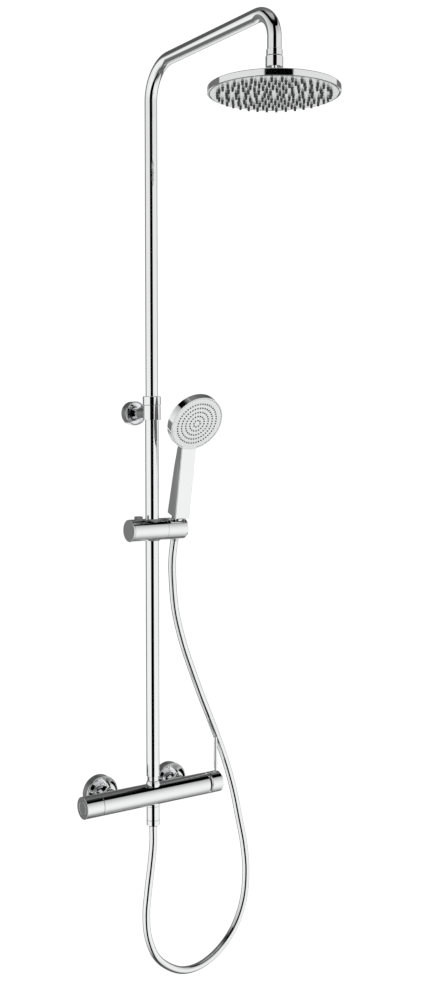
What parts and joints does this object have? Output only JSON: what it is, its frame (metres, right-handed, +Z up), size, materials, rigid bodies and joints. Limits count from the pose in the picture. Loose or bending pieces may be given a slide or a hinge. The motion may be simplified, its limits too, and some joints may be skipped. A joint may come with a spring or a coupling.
{
  "type": "rainfall shower column",
  "caption": "Wall-mounted shower column: mixer bar, telescopic riser with overhead shower, sliding holder and hand shower on a hose.",
  "frame": {"origin": "on the finished wall, level with the mixer bar's axis and midway between its two inlets", "axes": "+X along the mixer bar towards the lever, +Y into the wall, +Z up"},
  "size_m": [0.3818, 0.553, 1.676],
  "materials": {
    "chrome": "mirror-bright chrome plating on brass",
    "chromed_plastic": "mirror-bright chrome plating on moulded plastic",
    "satin_metal": "fine satin",
    "satin_plastic": "satin silver coating",
    "hose_cover": "smooth silver foil under clear plastic",
    "brass": "machined",
    "steel": "plain zinc",
    "silicone": "soft matt",
    "rubber": "matt",
    "grey_plastic": "fine moulded grain",
    "white_plastic": "moulded, slightly waxy",
    "ceramic": "cartridge body, smooth"
  },
  "bodies": {
    "fixed_set": {"mixer_body": "chrome", "inlet_union_left": "chrome", "inlet_union_right": "chrome", "inlet_nut_left": "chrome", "inlet_nut_right": "chrome", "inlet_washer_left": "rubber", "inlet_washer_right": "rubber", "check_valve_left": "white_plastic", "check_valve_right": "white_plastic", "inlet_rosette_left": "chrome", "inlet_rosette_right": "chrome", "riser_adapter": "chrome", "outlet_nipple": "chrome", "diverter_cartridge": "ceramic", "mixing_cartridge": "ceramic", "lower_tube": "chrome", "bracket_sleeve": "chrome", "bracket_base": "steel", "bracket_rosette": "chrome", "bracket_screw": "steel", "wall_plug": "grey_plastic", "bracket_grub_screw": "steel", "clamp_collet": "white_plastic", "hose": "hose_cover", "hose_foot_nut": "chrome", "hose_washer_lower": "rubber"},
    "diverter": {"diverter_knob": "chrome", "diverter_knob_cover": "chrome", "diverter_spindle": "brass"},
    "mixing": {"mixing_stem": "brass"},
    "lever": {"lever_cap": "chrome", "lever_pin": "chrome", "lever_grub_screw": "steel"},
    "clamp": {"clamp_nut": "chrome"},
    "inner_bush": {"telescope_bush": "white_plastic", "telescope_o_ring": "rubber"},
    "arm": {"upper_tube": "chrome", "arm_collar": "chrome", "ball_stud": "chrome"},
    "tilt_ring": {"ball_seat_upper": "white_plastic"},
    "roll_ring": {"ball_seat_lower": "white_plastic"},
    "overhead": {"ball_nut": "chrome", "head_shell": "chromed_plastic", "head_face_plate": "satin_metal", "head_nozzle_mat": "silicone"},
    "grip": {"slider_bush": "grey_plastic"},
    "slider": {"slider_body": "chromed_plastic", "slider_end_cap": "chromed_plastic", "holder_pivot_screw": "steel", "holder_friction_washer": "grey_plastic", "button_spring": "steel"},
    "button": {"release_button": "grey_plastic"},
    "holder": {"holder_head": "chromed_plastic", "holder_liner": "grey_plastic"},
    "handset": {"handset_body": "chromed_plastic", "handset_nipple": "brass", "handset_nozzle_mat": "silicone", "handset_face_plate": "satin_plastic"},
    "cone_nut": {"hose_cone_nut": "chrome"}
  },
  "joints": [
    {"name": "diverter_turn", "type": "hinge", "parent": "fixed_set", "child": "diverter", "pos_m": [-0.128, -0.071, 0], "axis": [1, 0, 0], "range_deg": [-60, 60]},
    {"name": "lever_temperature", "type": "hinge", "parent": "fixed_set", "child": "mixing", "pos_m": [0.11, -0.071, 0], "axis": [1, 0, 0], "range_deg": [-45, 45]},
    {"name": "lever_lift", "type": "hinge", "parent": "mixing", "child": "lever", "pos_m": [0.11, -0.071, 0], "axis": [0, 1, 0], "range_deg": [0, 12]},
    {"name": "clamp_turn", "type": "hinge", "parent": "fixed_set", "child": "clamp", "pos_m": [0, -0.071, 0.716], "axis": [0, 0, 1], "range_deg": [0, 180]},
    {"name": "column_height", "type": "slide", "parent": "fixed_set", "child": "inner_bush", "axis": [0, 0, 1], "range_m": [-0.3, 0.15]},
    {"name": "arm_swivel", "type": "hinge", "parent": "inner_bush", "child": "arm", "pos_m": [0, -0.071, 0.7], "axis": [0, 0, 1], "range_deg": [-60, 60]},
    {"name": "head_tilt_front", "type": "hinge", "parent": "arm", "child": "tilt_ring", "pos_m": [0, -0.426, 1.203], "axis": [1, 0, 0], "range_deg": [-15, 15]},
    {"name": "head_tilt_side", "type": "hinge", "parent": "tilt_ring", "child": "roll_ring", "pos_m": [0, -0.426, 1.203], "axis": [0, 1, 0], "range_deg": [-15, 15]},
    {"name": "head_spin", "type": "hinge", "parent": "roll_ring", "child": "overhead", "pos_m": [0, -0.426, 1.203], "axis": [0, 0, 1], "continuous": true},
    {"name": "slider_height", "type": "slide", "parent": "fixed_set", "child": "grip", "axis": [0, 0, 1], "range_m": [0, 0.165]},
    {"name": "slider_swivel", "type": "hinge", "parent": "grip", "child": "slider", "pos_m": [0, -0.071, 0.485], "axis": [0, 0, 1], "range_deg": [-45, 45]},
    {"name": "button_press", "type": "slide", "parent": "slider", "child": "button", "axis": [0, 0, -1], "range_m": [0, 0.003], "stiffness_N_per_m": 600, "springref_m": -0.004, "deforming": ["button_spring"]},
    {"name": "holder_tilt", "type": "hinge", "parent": "slider", "child": "holder", "pos_m": [0.045, -0.071, 0.485], "axis": [1, 0, 0], "range_deg": [-8, 35]},
    {"name": "handset_lift", "type": "slide", "parent": "holder", "child": "handset", "axis": [0, -0.23, 0.9732], "range_m": [0, 0.06]},
    {"name": "cone_nut_spin", "type": "hinge", "parent": "handset", "child": "cone_nut", "pos_m": [0.051, -0.071, 0.485], "axis": [0, -0.23, 0.9732], "continuous": true}
  ]
}
